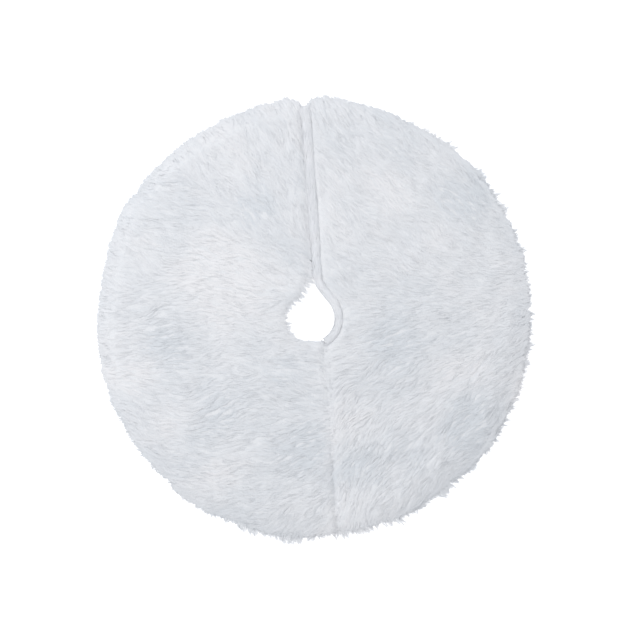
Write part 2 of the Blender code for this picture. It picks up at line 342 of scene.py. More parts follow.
# Comb strokes: x, y, and the way the pile lies there in degrees.
LEFT_COMB = [
    (-0.17, 0.31, -45), (-0.08, 0.31, -52), (-0.02, 0.33, -65), (-0.02, 0.25, -62), (-0.25, 0.24, -20),
    (-0.14, 0.23, -35), (-0.06, 0.21, -45), (-0.02, 0.17, -68), (-0.010, 0.12, -38), (-0.32, 0.14, -38),
    (-0.20, 0.14, -12), (-0.10, 0.13, -32), (-0.03, 0.10, -62), (-0.012, 0.09, -28), (-0.30, 0.05, 5),
    (-0.18, 0.05, 5), (-0.09, 0.05, -12), (-0.30, -0.05, -3), (-0.18, -0.05, 6), (-0.09, -0.04, -10),
    (-0.30, -0.15, -22), (-0.20, -0.13, 12), (-0.10, -0.13, 0), (-0.02, -0.12, -25), (-0.27, -0.22, -30),
    (-0.18, -0.22, 0), (-0.08, -0.22, 10), (-0.01, -0.22, 12), (-0.15, -0.31, -2), (-0.07, -0.31, 12),
    (-0.01, -0.30, 35), (-0.03, -0.36, 45),
]
RIGHT_COMB = [
    (0.04, 0.33, -62), (0.10, 0.31, -50), (0.18, 0.29, -40), (0.04, 0.24, -60), (0.10, 0.22, -46),
    (0.19, 0.21, -42), (0.28, 0.20, -46), (0.05, 0.15, -42), (0.13, 0.14, -50), (0.22, 0.13, -46),
    (0.32, 0.12, -25), (0.07, 0.08, -35), (0.15, 0.08, -36), (0.25, 0.07, -28), (0.34, 0.05, -2),
    (0.09, 0.02, -8), (0.18, 0.01, 2), (0.28, 0.01, -4), (0.08, -0.05, 10), (0.16, -0.05, 24),
    (0.26, -0.05, 16), (0.34, -0.05, 24), (0.04, -0.09, 12), (0.10, -0.11, 32), (0.19, -0.11, 33),
    (0.29, -0.11, 34), (0.04, -0.16, 45), (0.11, -0.18, 38), (0.20, -0.18, 36), (0.29, -0.18, 42),
    (0.03, -0.24, 55), (0.10, -0.25, 44), (0.19, -0.26, 38), (0.03, -0.31, 68), (0.09, -0.32, 52),
    (0.04, -0.36, 72),
]


def turned_out(angle):
    """How many tufts stand out past the rim: most on the right and the bottom, few on the upper left."""
    return np.clip(1.3 * np.cos(angle + math.radians(35)) + 0.55, 0.08, 1)


class Field:
    """Everything the pile needs to know about one half, sampled on a grid."""

    def __init__(self, outline, comb):
        line = np.arange(-GRID_HALF, GRID_HALF + GRID_STEP / 2, GRID_STEP)
        grid = np.stack(np.meshgrid(line, line, indexing="ij"), -1)
        flat = grid.reshape(-1, 2)
        self.outline = resampled(outline, 0.004)
        self.inside = signed_distance(flat, self.outline).reshape(grid.shape[:2])
        self.slit_depth = self.beside_slit(flat).reshape(grid.shape[:2])
        self.nap = self.combed(flat, comb).reshape(grid.shape)
        inward = np.stack(np.gradient(self.inside, GRID_STEP), -1)
        self.from_edge = (inward * self.nap).sum(-1)
        slope = np.stack(np.gradient(self.pile_height(grid), GRID_STEP), -1)
        steepness = np.linalg.norm(slope, axis=-1, keepdims=True)
        self.slope = slope * (MOST_SLOPE / np.maximum(steepness, MOST_SLOPE))

    def beside_slit(self, points):
        """Distance inwards from the slit and the hole, as if the seam and the rim weren't there."""
        x, y = self.outline.T
        edge = self.outline[(np.abs(x) < 0.06) & ((y > 0) | (np.hypot(x - HOLE_X, y) < 0.07)) & (y < 0.372)]
        far = np.sqrt(((points[:, None] - edge) ** 2).sum(-1).min(1))
        x, y = points.T
        opening = (np.abs(x) < 0.05) & (y > -0.05) & (y < 0.375)
        return np.where(opening & (self.inside.ravel() < 0), -far, far)

    def combed(self, points, comb):
        comb = np.array(comb, float)
        away = ((points[:, None] - comb[:, :2]) ** 2).sum(-1)
        weight = (away + 0.018 ** 2) ** -1.6
        return unit(weight @ heading(np.radians(comb[:, 2])))

    def sample(self, values, points):
        place = np.clip((points + GRID_HALF) / GRID_STEP, 0, values.shape[0] - 1.001)
        cell = place.astype(int)
        part = place - cell
        x, y = cell[..., 0], cell[..., 1]
        fx, fy = part[..., 0], part[..., 1]
        if values.ndim == 3:
            fx, fy = fx[..., None], fy[..., None]
        return between_corners(values, x, x + 1, y, y + 1, fx, fy)

    def depth(self, points):
        return self.sample(self.inside, points)

    def direction(self, points):
        return self.sample(self.nap, points)

    def leaves_edge(self, points):
        """True where the pile lies along the nearest edge or leans away from it."""
        return self.sample(self.from_edge, points) > -0.2

    def pile_height(self, points):
        """Height of the laid pile's surface: rounded down at the rim, the slit and the hole, with a seam."""
        radius = np.linalg.norm(points, axis=-1)
        rim_depth = rim_radius(np.arctan2(points[..., 1], points[..., 0])) - radius
        share = 1 - (1 - np.clip(rim_depth / RIM_ROUND, 0, 1)) ** 2.2
        height = RIM_HEIGHT + (FULL_HEIGHT - RIM_HEIGHT) * share
        height = np.where(rim_depth < 0, np.maximum(RIM_HEIGHT + 0.62 * rim_depth, 0.0018), height)
        slit_depth = self.sample(self.slit_depth, points)
        edge = HOLE_HEIGHT + (SLIT_HEIGHT - HOLE_HEIGHT) * smooth((points[..., 1] - 0.05) / 0.05)
        rise = 1 - (1 - np.clip(slit_depth / SLIT_ROUND, 0, 1)) ** 2.2
        droop = 0.35 - 0.45 * smooth((points[..., 1] - 0.185) / 0.02)
        height = np.minimum(height, edge + (FULL_HEIGHT - edge) * rise + droop * np.minimum(slit_depth, 0))
        right = smooth(0.5 + points[..., 0] / 0.3)
        hollows = value_noise(points, 0.045, 31) * 0.6 + value_noise(points, 0.021, 32) * 0.4
        height = height - (0.0008 + 0.0014 * right) * (1 - hollows) * share
        trough = 0.0014 + 0.0030 * smooth((-0.24 - points[..., 1]) / 0.03)
        low = trough * smooth((-0.05 - points[..., 1]) / 0.03)
        return height - low * np.exp(-(((points[..., 0] - SEAM_X) / 0.005) ** 2))


# ---------------------------------------------------------------- growing locks

def root_grid(field, spacing, seed):
    """Jittered roots on a triangular grid, also just outside the edges that the pile leans away from."""
    rng = np.random.default_rng(seed)
    rows = np.arange(-GRID_HALF, GRID_HALF, spacing * math.sqrt(3) / 2)
    columns = np.arange(-GRID_HALF, GRID_HALF, spacing)
    x, y = np.meshgrid(columns, rows, indexing="ij")
    x = x + (np.arange(len(rows)) % 2) * spacing / 2
    points = np.stack([x.ravel(), y.ravel()], 1)
    points = points + rng.uniform(-0.38, 0.38, points.shape) * spacing
    return points[field.depth(points) > np.where(field.leaves_edge(points), -0.004, 0.0)]


def edge_roots(field, seed):
    """More roots along the edges that the pile leans away from, which would stay bare otherwise."""
    points = root_grid(field, EDGE_SPACING, seed)
    return points[(field.depth(points) < EDGE_DEPTH) & field.leaves_edge(points)]


def tuft_roots(field, seed):
    """Roots of the tufts along the rim, in uneven groups."""
    points = root_grid(field, EDGE_SPACING, seed)
    around = np.arctan2(points[:, 1], points[:, 0])
    rim_depth = rim_radius(around) - np.linalg.norm(points, axis=1)
    odds = turned_out(around) * (0.7 + 1.1 * value_noise(points, 0.011, seed + 1))
    keep = np.random.default_rng(seed + 2).random(len(points)) < odds
    keep &= (rim_depth > 0.0005) & (rim_depth < TUFT_DEPTH)
    return points[keep & ((np.abs(points[:, 0] - ROLL_X) > 0.045) | (points[:, 1] < 0))]


def lock_lines(field, roots, length, seed, overhang, outward, steps=8):
    """Centre lines of locks that follow the comb, or turn outwards by a share, as (lock, step, xy)."""
    rng = np.random.default_rng(seed)
    count = len(roots)
    lean = rng.normal(0, math.radians(5), count) + math.radians(12) * value_noise(roots, 0.035, seed + 1)
    lean = lean + math.radians(9) * value_noise(roots, 0.014, seed + 2)
    phase = 1.6 * math.pi * value_noise(roots, 0.05, seed + 3)
    phase = phase + 0.5 * math.pi * value_noise(roots, 0.015, seed + 4)
    sway = np.radians(rng.uniform(10, 26, count))
    line = np.empty((count, steps + 1, 2))
    line[:, 0] = roots
    for k in range(steps):
        nap = field.direction(line[:, k]) * (1 - outward) + unit(line[:, k]) * outward
        angle = np.arctan2(nap[:, 1], nap[:, 0]) + lean
        angle = angle + sway * np.sin(2 * math.pi * 1.25 * k / steps + phase)
        line[:, k + 1] = line[:, k] + heading(angle) * (length / steps)[:, None]
    return shortened(field, line, overhang)


def shortened(field, line, overhang):
    """Locks that would hang too far over an edge end where they pass their overhang."""
    count, points = line.shape[:2]
    depth = field.depth(line.reshape(-1, 2)).reshape(count, points)
    over = depth < -overhang[:, None]
    over[:, :2] = False
    first = np.where(over.any(1), over.argmax(1), points - 1)
    keep = np.maximum(first, 2) / (points - 1)
    return along(line, np.linspace(0, 1, points)[None] * keep[:, None])


def along(line, t):
    """Points of the (lock, step, xy) lines at times t of shape (lock, ring)."""
    steps = line.shape[1] - 1
    place = np.clip(t * steps, 0, steps - 1e-6)
    low = place.astype(int)
    part = (place - low)[..., None]
    rows = np.arange(len(line))[:, None]
    return line[rows, low] * (1 - part) + line[rows, low + 1] * part


def strands(field, line, seed, stack, spread):
    """Centre points, radii and sideways directions of every strand, each as (strand, ring, ...)."""
    rng = np.random.default_rng(seed)
    line = np.repeat(line, STRANDS_PER_LOCK, axis=0)
    count = len(line)
    reach = rng.uniform(0.78, 1.0, count)
    times = np.append(RING_TIMES, 1.0)
    t = times[None] * reach[:, None]
    centre = along(line, t)
    ahead = along(line, np.minimum(t + 0.06, 1.0)) - along(line, np.maximum(t - 0.06, 0.0))
    ahead /= np.linalg.norm(ahead, axis=-1, keepdims=True) + 1e-9
    side = np.stack([-ahead[..., 1], ahead[..., 0]], -1)
    across = rng.normal(0, 1, count).clip(-1.8, 1.8)[:, None] * (1 - 0.78 * smooth(times * 1.1))
    wander = rng.normal(0, 0.0005, (count, 1)) * np.sin(3.0 * times + rng.uniform(0, 6, (count, 1)))
    centre = centre + side * (across * np.repeat(spread, STRANDS_PER_LOCK)[:, None] + wander)[..., None]
    level = np.repeat(stack, STRANDS_PER_LOCK) + rng.uniform(-0.015, 0.015, count)
    top = field.pile_height(centre)
    low = np.minimum(PILE_BOTTOM + 0.0012 + 1.2 * np.minimum(field.depth(centre), 0), top).clip(0.0012)
    rise = 1 - (1 - times) ** 4.5 - 0.05 * times ** 6
    raise_by = 0.88 * smooth(1 - field.depth(centre[:, 0]) / 0.012)[:, None]
    start = low[:, :1] + raise_by * (top[:, :1] * level[:, None] - low[:, :1]).clip(0)
    height = start + (top * level[:, None] - start) * rise
    height = height - 0.0003 * np.minimum(across ** 2, 2.5) * (times > 0)
    thin = STRAND_RADIUS * rng.uniform(0.8, 1.15, count)[:, None] * (1 - times ** 3)[None]
    slope = field.sample(field.slope, centre)
    relief = 0.19 + 0.12 * smooth(0.5 + centre[..., 0] / 0.3)
    convex = side * (relief * across)[..., None]
    normal = np.concatenate([convex - slope, np.ones_like(slope[..., :1])], -1)
    centre = np.concatenate([centre, np.maximum(height, 0.0010)[..., None]], -1)
    return centre, thin, np.concatenate([side, np.zeros_like(side[..., :1])], -1), normal


def threads(centre, thin, side, up, corners=3, flatness=1.0):
    """Closed tapering threads along the centre points, as vertices, quads, triangles and times."""
    count, rings = centre.shape[:2]
    body = rings - 1
    turn = np.radians(90 + 360 / corners * np.arange(corners))
    across = np.cos(turn)[:, None] * side[:, :body, None]
    upward = flatness * np.sin(turn)[:, None] * up[:, :body, None]
    ring = centre[:, :body, None] + thin[:, :body, None, None] * (across + upward)
    verts = np.concatenate([ring.reshape(count, body * corners, 3), centre[:, body:]], 1)
    per = body * corners + 1
    start = (np.arange(count) * per)[:, None, None]
    j = np.arange(corners)
    n = (j + 1) % corners
    first = corners * np.arange(body - 1)[:, None]
    quads = np.stack([first + j, first + n, first + corners + n, first + corners + j], -1).reshape(-1, 4)
    last = corners * (body - 1)
    tip = np.stack([last + j, last + n, np.full(corners, per - 1)], -1)
    fan = np.arange(1, corners - 1)
    cap = np.stack([np.zeros_like(fan), fan + 1, fan], -1)
    quads = (quads[None] + start).reshape(-1, 4)
    tris = (np.concatenate([tip, cap])[None] + start).reshape(-1, 3)
    times = np.append(np.repeat(np.linspace(0, 0.9, body), corners), 1.0)
    return verts.reshape(-1, 3), quads, tris, np.tile(times, count)


def mesh_piece(name, verts, polygons, material, smooth_faces=True, uv=None):
    """A mesh object from vertices, arrays of quads and triangles, and a map place for each vertex."""
    mesh = bpy.data.meshes.new(name)
    sizes = np.concatenate([np.full(len(p), p.shape[1]) for p in polygons])
    corners = np.concatenate([p.ravel() for p in polygons]).astype(np.int32)
    mesh.vertices.add(len(verts))
    mesh.vertices.foreach_set("co", np.asarray(verts, np.float32).ravel())
    mesh.loops.add(len(corners))
    mesh.loops.foreach_set("vertex_index", corners)
    mesh.polygons.add(len(sizes))
    starts = np.concatenate([[0], np.cumsum(sizes)[:-1]]).astype(np.int32)
    mesh.polygons.foreach_set("loop_start", starts)
    mesh.polygons.foreach_set("use_smooth", np.array(np.broadcast_to(smooth_faces, len(sizes))))
    if uv is not None:
        layer = mesh.uv_layers.new(name="OFBake")
        places = uv if len(uv) == len(corners) else uv[corners]
        layer.uv.foreach_set("vector", places.astype(np.float32).ravel())
    mesh.update(calc_edges=True)
    mesh.materials.append(material)
    obj = bpy.data.objects.new(name, mesh)
    bpy.context.scene.collection.objects.link(obj)
    return obj


def pile_piece(name, centre, thin, side, up, shade, material, normal=None):
    """Three-cornered strands, lit as one soft surface, with their tone and shade kept for the material."""
    verts, quads, tris, tone = threads(centre, thin, side, up, 3, STRAND_FLATNESS)
    count = len(centre)
    outer = [np.tile([True, False, True], len(quads) // 3), np.tile([True, False, True, False], count)]
    shade = np.repeat(shade, len(verts) // count)
    corner = np.tile(np.append(np.tile([0.0, 0.5, 1.0], centre.shape[1] - 1), 0.5), count)
    uv = np.stack([0.01 + 0.97 * shade + 0.008 * corner, 0.01 + 0.98 * tone], 1)
    obj = mesh_piece(name, verts, [quads, tris], material, np.concatenate(outer), uv)
    for label, values in (("tone", tone), ("shade", shade)):
        attribute = obj.data.attributes.new(label, "FLOAT", "POINT")
        attribute.data.foreach_set("value", values.astype(np.float32))
    facing = np.where(np.concatenate([np.repeat(outer[0], 4), np.repeat(outer[1], 3)]), 1, -1)
    corners = np.concatenate([quads.ravel(), tris.ravel()])
    soften(obj.data, up if normal is None else normal, side, corners, facing)
    return obj


def soften(mesh, normal, side, corners, facing):
    """Points each strand's normals nearly the way the whole pile faces, as light spreads between fibres.

    The flat undersides, whose facing is -1, get the opposite normals.
    """
    tilt = np.array([0.0, -1.0, 1.0])[:, None] * STRAND_TILT
    ring = normal[:, :-1, None] + tilt * side[:, :-1, None]
    count = len(normal)
    found = unit(np.concatenate([ring.reshape(count, -1, 3), normal[:, -1:]], 1).reshape(-1, 3))
    mesh.normals_split_custom_set((found[corners] * facing[:, None]).astype(np.float32))


# ---------------------------------------------------------------- materials

def new_material(name, roughness, sheen=0.0, specular=0.5):
    material = bpy.data.materials.new(name)
    material.use_nodes = True
    shader = material.node_tree.nodes["Principled BSDF"]
    shader.inputs["Roughness"].default_value = roughness
    shader.inputs["Sheen Weight"].default_value = sheen
    shader.inputs["Specular IOR Level"].default_value = specular
    return material, material.node_tree, shader


def ramp_between(tree, source, low, high, start=0.0, end=1.0):
    """A colour ramp driven by the source socket."""
    ramp = tree.nodes.new("ShaderNodeValToRGB")
    first, last = ramp.color_ramp.elements
    first.color, last.color = (*low, 1), (*high, 1)
    first.position, last.position = start, end
    tree.links.new(source, ramp.inputs["Fac"])
    return ramp.outputs["Color"]


def noise_of(tree, scale, detail=3.0, stretch=(1, 1, 1)):
    coords = tree.nodes.new("ShaderNodeTexCoord")
    mapping = tree.nodes.new("ShaderNodeMapping")
    mapping.inputs["Scale"].default_value = stretch
    noise = tree.nodes.new("ShaderNodeTexNoise")
    noise.inputs["Scale"].default_value = scale
    noise.inputs["Detail"].default_value = detail
    tree.links.new(coords.outputs["Object"], mapping.inputs["Vector"])
    tree.links.new(mapping.outputs["Vector"], noise.inputs["Vector"])
    return noise.outputs["Fac"]


def add_bump(tree, shader, height, strength, distance):
    bump = tree.nodes.new("ShaderNodeBump")
    bump.inputs["Strength"].default_value = strength
    bump.inputs["Distance"].default_value = distance
    tree.links.new(height, bump.inputs["Height"])
    tree.links.new(bump.outputs["Normal"], shader.inputs["Normal"])


def math_node(tree, operation, a, b):
    node = tree.nodes.new("ShaderNodeMath")
    node.operation = operation
    for socket, value in zip(node.inputs, (a, b)):
        if isinstance(value, float):
            socket.default_value = value
        else:
            tree.links.new(value, socket)
    return node.outputs["Value"]


def multiplied(tree, a, b):
    mix = tree.nodes.new("ShaderNodeMix")
    mix.data_type = "RGBA"
    mix.blend_type = "MULTIPLY"
    mix.inputs["Factor"].default_value = 1.0
    tree.links.new(a, mix.inputs["A"])
    tree.links.new(b, mix.inputs["B"])
    return mix.outputs["Result"]


def attribute_of(tree, name):
    node = tree.nodes.new("ShaderNodeAttribute")
    node.attribute_name = name
    return node.outputs["Fac"]


def pile_material(name, root=(0.885, 0.90, 0.92), tip=(0.93, 0.94, 0.955)):
    """Acrylic pile: greyer at the roots, which is painted shade deep in the pile, and each lock a little
    warmer or bluer than the next, from random tone and from painted light and shade in broad patches.
    """
    material, tree, shader = new_material(name, 0.6, sheen=0.2, specular=0.3)
    tone, shade = attribute_of(tree, "tone"), attribute_of(tree, "shade")
    # painted shade: each strand's colour runs from darker and greyer at its root to lighter at its tip,
    # standing in for the shade deep in the pile
    body = ramp_between(tree, tone, root, tip, 0.0, 0.8)
    # painted light and shade: the shade attribute runs this ramp from a darker bluish colour to a lighter
    # warm one
    tint_and_painted_light = ramp_between(tree, shade, (0.842, 0.863, 0.890), (0.988, 0.975, 0.981))
    tree.links.new(multiplied(tree, body, tint_and_painted_light), shader.inputs["Base Color"])
    rough = tree.nodes.new("ShaderNodeMapRange")
    rough.inputs["To Min"].default_value = 0.9
    rough.inputs["To Max"].default_value = 0.6
    tree.links.new(tone, rough.inputs["Value"])
    tree.links.new(rough.outputs["Result"], shader.inputs["Roughness"])
    return material


def grained_material(name, dark, light, finish, noise, tones, bump):
    """Two tones and small bumps from one noise, whose values at tones turn from dark to light."""
    material, tree, shader = new_material(name, *finish)
    grain = noise_of(tree, *noise)
    tree.links.new(ramp_between(tree, grain, dark, light, *tones), shader.inputs["Base Color"])
    add_bump(tree, shader, grain, *bump)
    return material


def undercoat_material(name, dark, light):
    """The short dense fibres between the locks."""
    return grained_material(name, dark, light, (0.95, 0.3, 0.2), (420.0, 4.0), (0.3, 0.7), (0.6, 0.0008))


def woven_material(name, dark, light, pitch, roughness, sheen=0.2):
    """Plain weave: two crossed waves a thread apart, with slubs."""
    material, tree, shader = new_material(name, roughness, sheen, 0.4)
    coords = tree.nodes.new("ShaderNodeTexCoord")
    heights = []
    for axis in "XY":
        wave = tree.nodes.new("ShaderNodeTexWave")
        wave.bands_direction = axis
        wave.inputs["Scale"].default_value = 0.314 / pitch
        wave.inputs["Distortion"].default_value = 0.4
        tree.links.new(coords.outputs["Object"], wave.inputs["Vector"])
        heights.append(wave.outputs["Fac"])
    weave = math_node(tree, "MULTIPLY", *heights)
    slubs = noise_of(tree, 90.0, 3.0, (1, 6, 1))
    weave_part = math_node(tree, "MULTIPLY", weave, 0.6)
    mixed = math_node(tree, "ADD", weave_part, math_node(tree, "MULTIPLY", slubs, 0.4))
    tree.links.new(ramp_between(tree, mixed, dark, light, 0.1, 0.7), shader.inputs["Base Color"])
    add_bump(tree, shader, weave, 0.35, 0.0003)
    return material


def thread_material():
    return grained_material("sewing_thread", (0.74, 0.75, 0.78), (0.92, 0.92, 0.93), (0.5, 0.3, 0.4),
                            (900.0, 2.0, (1, 1, 3)), (0.0, 1.0), (0.4, 0.0002))


def tape_material(name, dark, light, roughness):
    finish = (roughness, 0.1, 0.5)
    return grained_material(name, dark, light, finish, (1300.0, 2.0), (0.35, 0.65), (0.5, 0.0003))


def floor_material():
    material, tree, shader = new_material("white_floor", 0.9, specular=0.0)
    mottle = noise_of(tree, 3.0, 2.0)
    colour = ramp_between(tree, mottle, (0.975, 0.975, 0.975), (0.985, 0.985, 0.985))
    tree.links.new(colour, shader.inputs["Base Color"])
    shader.inputs["Emission Color"].default_value = (1, 1, 1, 1)
    shader.inputs["Emission Strength"].default_value = 0.55
    return material


# ---------------------------------------------------------------- cloth-shaped solids

def triangulated(outline, spacing):
    """The outline filled with a grid of points, as vertices and upward triangles."""
    outline = filled_in(outline, spacing)
    xs = np.arange(outline[:, 0].min(), outline[:, 0].max(), spacing)
    ys = np.arange(outline[:, 1].min(), outline[:, 1].max(), spacing * 0.866)
    x, y = np.meshgrid(xs, ys, indexing="ij")
    x = x + (np.arange(len(ys)) % 2) * spacing / 2
    grid = np.stack([x.ravel(), y.ravel()], 1)
    grid = grid[signed_distance(grid, outline) > 0.45 * spacing]
    points = np.vstack([outline, grid])
    edges = [(i, (i + 1) % len(outline)) for i in range(len(outline))]
    found = delaunay_2d_cdt([Vector(p) for p in points], edges, [], 1, 1e-7)
    verts = np.array([tuple(v) for v in found[0]])
    tris = np.array([f for f in found[2] if len(f) == 3])
    a, b, c = (verts[tris[:, i]] for i in range(3))
    turn = (b - a)[:, 0] * (c - a)[:, 1] - (b - a)[:, 1] * (c - a)[:, 0]
    tris[turn < 0] = tris[turn < 0][:, ::-1]
    return verts, tris[abs(turn) > 1e-12]


def closed_sheet(name, outline, spacing, top, bottom, material):
    """A closed solid over the outline between two height functions of xy, its faces mapped side by side."""
    verts, tris = triangulated(outline, spacing)
    count = len(verts)
    directed = np.concatenate([tris[:, [0, 1]], tris[:, [1, 2]], tris[:, [2, 0]]])
    _, index, uses = np.unique(np.sort(directed, 1), axis=0, return_index=True, return_counts=True)
    border = directed[index[uses == 1]]
    walls = np.stack([border[:, 1], border[:, 0], border[:, 0] + count, border[:, 1] + count], 1)
    lower = tris[:, ::-1] + count
    solid = np.vstack([np.column_stack([verts, top(verts)]), np.column_stack([verts, bottom(verts)])])
    low, high = verts.min(0), verts.max(0)
    place = 0.02 + 0.96 * (np.vstack([verts, verts]) - low) / (high - low)
    index = np.concatenate([walls.ravel(), tris.ravel(), lower.ravel()])
    uv = place[index] * (0.5, 1.0)
    uv[walls.size + tris.size:, 0] += 0.5
    piece = mesh_piece(name, solid, [walls, tris, lower], material, True, uv)
    along_wall = verts[border[:, 1]] - verts[border[:, 0]]
    outward = np.column_stack([along_wall[:, 1], -along_wall[:, 0], np.zeros(len(border))])
    normals = [np.repeat(unit(outward), 4, axis=0), normals_of(top, verts)[tris.ravel()],
               -normals_of(bottom, verts)[tris[:, ::-1].ravel()]]
    piece.data.normals_split_custom_set(np.concatenate(normals).astype(np.float32))
    return piece


def normals_of(height, points, step=0.0004):
    """Upward normals of a surface whose height is a function of xy."""
    moves = np.array([(step, 0.0), (0.0, step)])
    slope = np.column_stack([(height(points + move) - height(points - move)) / (2 * step) for move in moves])
    slope = slope * (MOST_SLOPE / np.maximum(np.linalg.norm(slope, axis=1, keepdims=True), MOST_SLOPE))
    return unit(np.column_stack([-slope, np.ones(len(points))]))


def level(height):
    return lambda points: np.full(len(points), height)


def edge_rounded(height, outline, drop, width):
    """A height that falls by drop towards the outline, over the given width."""
    def found(points):
        depth = np.clip(signed_distance(points, outline) / width, 0, 1)
        return height - drop * (1 - np.sqrt(1 - (1 - depth) ** 2))
    return found


def attach(piece, body, node=None, crossing=False):
    """Rides the piece on its body, or, where it crosses the centre seam, only bakes its transform into its
    mesh and leaves it unparented.
    """
    if crossing:
        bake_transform(piece)
    else:
        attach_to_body(piece, body)
    if node:
        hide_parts(node)
    return piece


def two_sheets(name, node, outline, spacing, top, bottom, material):
    """A sheet above and one below the hole's centre line; the lower one's transform is baked instead of
    riding its body.
    """
    made = []
    for place, sign in HALVES:
        piece = closed_sheet(f"{name}_{place}", clipped(outline, sign), spacing, top, bottom, material)
        made.append(attach(piece, f"{name.split('_')[0]}_half", node=node, crossing=sign < 0))
    return made


def declare(pieces, outline, others=()):
    """Clips the outline for each of the two pieces and lists the other pieces that lie on each, but keeps
    neither.
    """
    for piece, (place, sign) in zip(pieces, HALVES):
        cut = clipped(outline, sign)
        [p for p in others if f"_{place}" in p.name]


def near_seam(piece):
    """True for a piece that overlaps the strip between BLEND_START and BLEND_END."""
    xs = [v.co.x for v in piece.data.vertices]
    return min(xs) < BLEND_END.x and max(xs) > BLEND_START.x


# ---------------------------------------------------------------- stage

def make_stage():
    bpy.ops.mesh.primitive_plane_add(size=14.0, location=(0, 0, 0))
    floor = bpy.context.object
    floor.name = "floor"
    floor.data.materials.append(floor_material())


def make_lights():
    """A bright even dome, and one large soft light from the upper left."""
    world = bpy.data.worlds.new("studio")
    bpy.context.scene.world = world
    world.use_nodes = True
    background = world.node_tree.nodes["Background"]
    background.inputs["Color"].default_value = (0.965, 0.98, 1.0, 1)
    background.inputs["Strength"].default_value = 0.742
    light = bpy.data.lights.new("window", "AREA")
    light.shape = "SQUARE"
    light.size = 2.2
    light.energy = 48.0
    obj = bpy.data.objects.new("window", light)
    obj.location = (-1.9, 1.7, 2.3)
    obj.rotation_mode = "QUATERNION"
    obj.rotation_quaternion = (-obj.location).to_track_quat("-Z", "Y")
    bpy.context.scene.collection.objects.link(obj)


def make_camera():
    """Straight above, turned so that the slit leans a little to the left."""
    width, distance, turn = 1.1366, 6.0, math.radians(-4.3)
    right = Vector((math.cos(turn), math.sin(turn), 0))
    up = Vector((-math.sin(turn), math.cos(turn), 0))
    data = bpy.data.cameras.new("camera")
    data.sensor_width = 36.0
    data.lens = 36.0 * distance / width
    data.clip_end = 100.0
    camera = bpy.data.objects.new("camera", data)
    camera.location = right * 0.0107 - up * 0.0036 + Vector((0, 0, distance + 0.015))
    camera.rotation_euler = (0, 0, turn)
    bpy.context.scene.collection.objects.link(camera)
    bpy.context.scene.camera = camera


# ---------------------------------------------------------------- the panels and their pile

def overhang_of(roots, side):
    """How far a lock's tip may hang over an edge."""
    x, y = roots[:, 0], roots[:, 1]
    past_rim = 0.003 + 0.005 * turned_out(np.arctan2(y, x))
    if side == "right":
        return np.where(np.hypot(x, y) > 0.3, past_rim, 0.002)
    slit = (np.abs(x) < 0.06) & (y > 0)
    far = past_rim
    far[slit & (y < 0.34)] = 0.0095
    far[slit & (y < 0.13)] = 0.0125
    far[slit & (y >= 0.205) & (y < 0.30)] = 0.013
    far[np.hypot(x - HOLE_X, y) < 0.068] = 0.002
    far[(np.abs(x) < 0.08) & (y < -0.245)] = 0.0
    return far


# Broad patches of painted light and shade, lighter and warmer where the strength is positive, darker and
# bluer where it is negative: x, y, radius and strength.
LIGHT_AND_SHADE_PATCHES = [
    (-0.18, 0.12, 0.070, 0.45), (-0.20, 0.05, 0.080, 0.25), (-0.109, 0.227, 0.040, -0.35),
    (-0.052, 0.141, 0.030, -0.30), (-0.292, -0.026, 0.035, -0.30), (-0.229, -0.155, 0.060, -0.25),
    (-0.071, -0.240, 0.050, -0.40), (-0.133, -0.090, 0.040, -0.20), (-0.303, -0.168, 0.035, 0.35),
    (-0.237, -0.264, 0.035, 0.35), (-0.349, -0.073, 0.030, 0.30), (-0.150, 0.320, 0.040, 0.15),
    (0.020, -0.220, 0.040, 0.30), (0.010, 0.220, 0.050, 0.25), (0.020, -0.360, 0.050, 0.30),
    (0.254, 0.208, 0.050, -0.30), (0.128, 0.236, 0.040, 0.25), (0.204, 0.157, 0.030, 0.20),
    (0.105, -0.072, 0.045, -0.45), (0.230, -0.228, 0.040, -0.55), (0.127, -0.273, 0.040, -0.25),
    (0.043, -0.304, 0.035, -0.30), (0.230, -0.117, 0.040, 0.30), (0.172, -0.150, 0.030, 0.20),
    (0.344, -0.163, 0.030, 0.30), (0.306, 0.041, 0.050, 0.20),
]


def shade_of(roots, rng):
    """From 0, bluish and a little darker, to 1, warm and lighter: the noise and the jitter are tone that
    differs at random, the patches are painted light and shade.
    """
    shade = 0.48 + 0.22 * value_noise(roots, 0.06, 51) + 0.14 * value_noise(roots, 0.02, 52)
    for x, y, radius, strength in LIGHT_AND_SHADE_PATCHES:
        shade = shade + 1.6 * strength * np.exp(-((roots - (x, y)) ** 2).sum(1) / radius ** 2)
    return np.clip(shade + rng.uniform(-0.12, 0.12, len(roots)), 0, 1)


